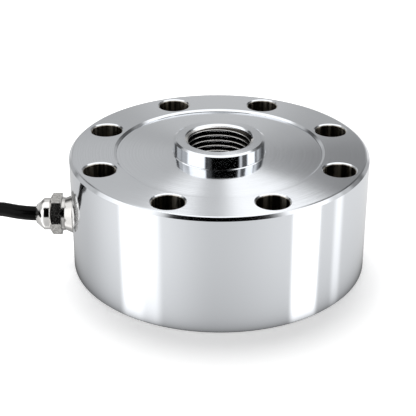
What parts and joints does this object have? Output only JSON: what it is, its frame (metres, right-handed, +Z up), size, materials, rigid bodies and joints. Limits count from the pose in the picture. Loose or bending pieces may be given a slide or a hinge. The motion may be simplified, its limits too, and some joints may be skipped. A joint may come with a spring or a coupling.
{
  "type": "pancake load cell",
  "caption": "Pancake load cell: a bolted steel ring with strain-gauged spokes inside, a threaded hub that takes the load, and a gland with its signal cable.",
  "frame": {"origin": "centre of the base plane, on the hub's axis, at the centre of the bolt circle", "axes": "+Z up along the hub's thread, the cable leaves along -X, so X is the longest side without the cable"},
  "size_m": [0.2534, 0.105, 0.047],
  "materials": {
    "body_steel": "nickel-plated alloy steel, wall polished, faces fine turned",
    "cover_steel": "fine turned, nickel-plated",
    "gland_nickel": "nickel-plated brass, satin",
    "seal_rubber": "moulded, matt",
    "claw_nylon": "moulded nylon",
    "cable_jacket": "extruded PVC, smooth",
    "shrink_sleeve": "heat-shrink tube",
    "gauge_film": "polyimide-backed foil, lacquered",
    "ribbon_film": "polyimide ribbon",
    "board_laminate": "glass-epoxy laminate",
    "pad_foam": "adhesive foam",
    "resistor_ceramic": "thick-film chip",
    "core_red": "extruded insulation",
    "core_green": "extruded insulation",
    "core_black": "extruded insulation",
    "core_white": "extruded insulation"
  },
  "bodies": {
    "root": {"board_pad_1": "pad_foam", "board_pad_2": "pad_foam", "board_pad_3": "pad_foam", "board_pad_4": "pad_foam", "bottom_cover": "cover_steel", "bridge_board": "board_laminate", "cable_coil": "cable_jacket", "cable_run": "cable_jacket", "cable_tail": "cable_jacket", "core_black": "core_black", "core_green": "core_green", "core_red": "core_red", "core_white": "core_white", "end_sleeve": "shrink_sleeve", "gauge_ribbon_1": "ribbon_film", "gauge_ribbon_2": "ribbon_film", "gauge_ribbon_3": "ribbon_film", "gauge_ribbon_4": "ribbon_film", "gauge_ribbon_5": "ribbon_film", "gauge_ribbon_6": "ribbon_film", "gauge_ribbon_7": "ribbon_film", "gauge_ribbon_8": "ribbon_film", "gland_base": "gland_nickel", "gland_claw": "claw_nylon", "gland_nut": "gland_nickel", "gland_seal": "seal_rubber", "gland_washer": "seal_rubber", "lead_black": "core_black", "lead_green": "core_green", "lead_red": "core_red", "lead_white": "core_white", "load_cell_body": "body_steel", "strain_gauge_1": "gauge_film", "strain_gauge_2": "gauge_film", "strain_gauge_3": "gauge_film", "strain_gauge_4": "gauge_film", "strain_gauge_5": "gauge_film", "strain_gauge_6": "gauge_film", "strain_gauge_7": "gauge_film", "strain_gauge_8": "gauge_film", "top_cover": "cover_steel", "trim_resistor_1": "resistor_ceramic", "trim_resistor_2": "resistor_ceramic", "trim_resistor_3": "resistor_ceramic", "trim_resistor_4": "resistor_ceramic"}
  },
  "joints": []
}
